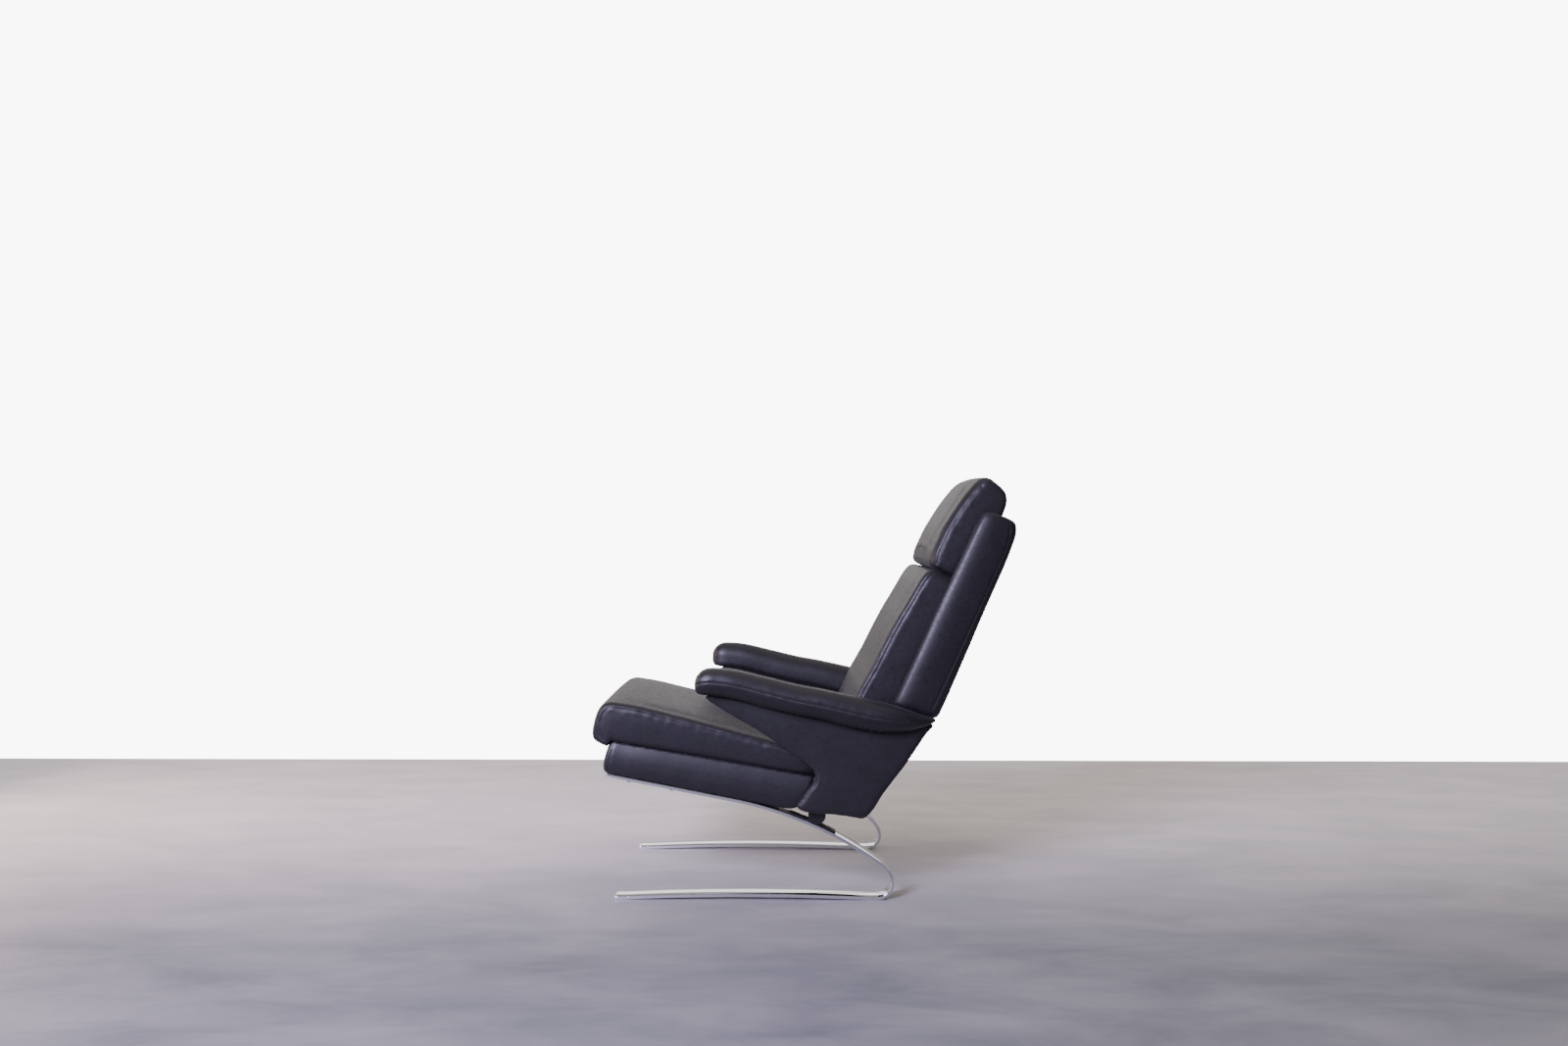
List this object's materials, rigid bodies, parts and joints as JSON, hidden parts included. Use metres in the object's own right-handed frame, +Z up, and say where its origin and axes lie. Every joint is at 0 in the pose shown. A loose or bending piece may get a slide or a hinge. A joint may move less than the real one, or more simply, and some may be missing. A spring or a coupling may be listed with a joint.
{
  "type": "cantilever lounge chair",
  "caption": "Upholstered lounge chair whose seat hangs on bent flat-bar runners that spring, with a reclining back that carries the armrests.",
  "frame": {"origin": "on the floor, at mid-length and mid-width of the chair", "axes": "-X to the front where the sitter's knees go, +Y to the sitter's right, +Z up"},
  "size_m": [1.0314, 0.7012, 1.0327],
  "materials": {
    "runner_chrome": "polished chrome plate",
    "black_leather": "smooth semi-matte leather",
    "frame_timber": "sanded beech",
    "strap_webbing": "woven elastic",
    "lining_cloth": "matte lining cloth",
    "black_steel": "satin black paint",
    "bush_nylon": "moulded nylon",
    "plain_steel": "zinc plated steel"
  },
  "bodies": {
    "base": {"runner_left": "runner_chrome", "runner_right": "runner_chrome"},
    "seat": {"seat_side_rail_left": "frame_timber", "seat_side_rail_right": "frame_timber", "seat_front_rail": "frame_timber", "seat_rear_rail": "frame_timber", "seat_corner_blocks": "frame_timber", "seat_straps_set": "strap_webbing", "seat_deck": "lining_cloth", "dust_cover": "lining_cloth", "seat_box": "black_leather", "seat_cushion": "black_leather", "runner_bolts": "black_steel", "rail_inserts": "plain_steel", "pivot_bracket_left": "black_steel", "pivot_bracket_right": "black_steel", "pivot_bush_left": "bush_nylon", "pivot_bush_right": "bush_nylon", "bracket_screws": "black_steel"},
    "back": {"pivot_pin_left": "black_steel", "pivot_pin_right": "black_steel", "pin_clips": "plain_steel", "side_plate_left": "black_steel", "side_plate_right": "black_steel", "side_panel_left": "black_leather", "side_panel_right": "black_leather", "panel_screws": "plain_steel", "arm_board_left": "frame_timber", "arm_board_right": "frame_timber", "armrest_left": "black_leather", "armrest_right": "black_leather", "back_upright_left": "frame_timber", "back_upright_right": "frame_timber", "back_top_rail": "frame_timber", "back_lower_rail": "frame_timber", "frame_bolts": "plain_steel", "frame_spacers": "plain_steel", "back_straps_set": "strap_webbing", "back_shell": "black_leather", "back_cushion": "black_leather", "headrest_board": "black_leather", "headrest_screws": "plain_steel", "headrest_cushion": "black_leather"}
  },
  "joints": [
    {"name": "cantilever_flex", "type": "hinge", "parent": "base", "child": "seat", "pos_m": [0.178, 0, 0.041], "axis": [0, -1, 0], "range_deg": [-1, 5], "stiffness_Nm_per_rad": 3000, "springref_deg": -0.37, "deforming": ["runner_left", "runner_right"]},
    {"name": "back_recline", "type": "hinge", "parent": "seat", "child": "back", "pos_m": [0.0315, 0, 0.209], "axis": [0, 1, 0], "range_deg": [0, 8], "stiffness_Nm_per_rad": 300, "springref_deg": -8.59}
  ]
}
